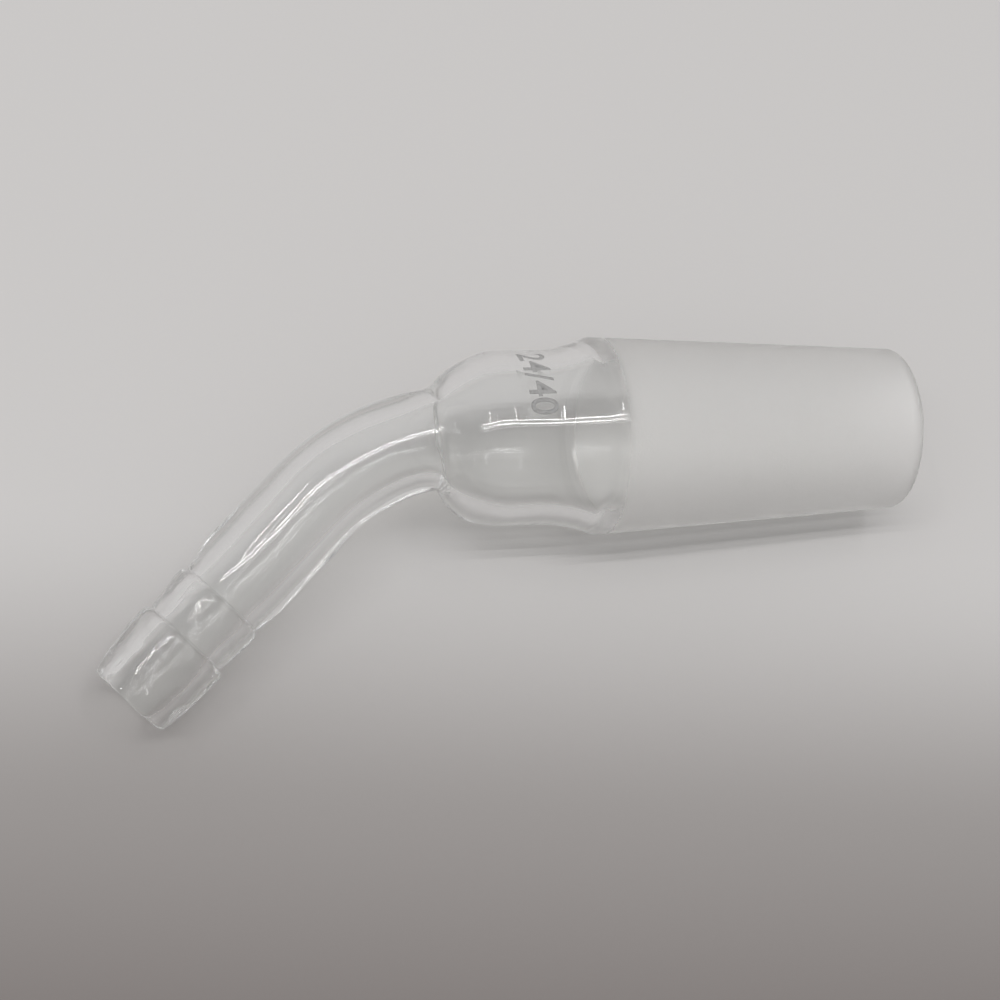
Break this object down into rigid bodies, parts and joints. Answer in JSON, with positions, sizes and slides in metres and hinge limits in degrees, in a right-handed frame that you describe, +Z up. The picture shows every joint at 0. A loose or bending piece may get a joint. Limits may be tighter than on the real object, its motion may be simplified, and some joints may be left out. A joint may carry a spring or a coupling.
{
  "type": "vacuum take-off adapter",
  "caption": "Clear glass vacuum take-off adapter: a ground tapered cone and round body lead into a bent tube that ends in a serrated hose connection.",
  "frame": {"origin": "centre of the cone's gauge plane, the widest section of the ground cone", "axes": "+Z up from the surface that the adapter lies on, +X along the cone over that surface towards its open end, -Y the side that the tube bends to"},
  "size_m": [0.1004, 0.0428, 0.024],
  "materials": {
    "glass": "clear and fire polished, with a fine ground band on the cone"
  },
  "bodies": {
    "root": {"adapter": "glass"}
  },
  "joints": []
}
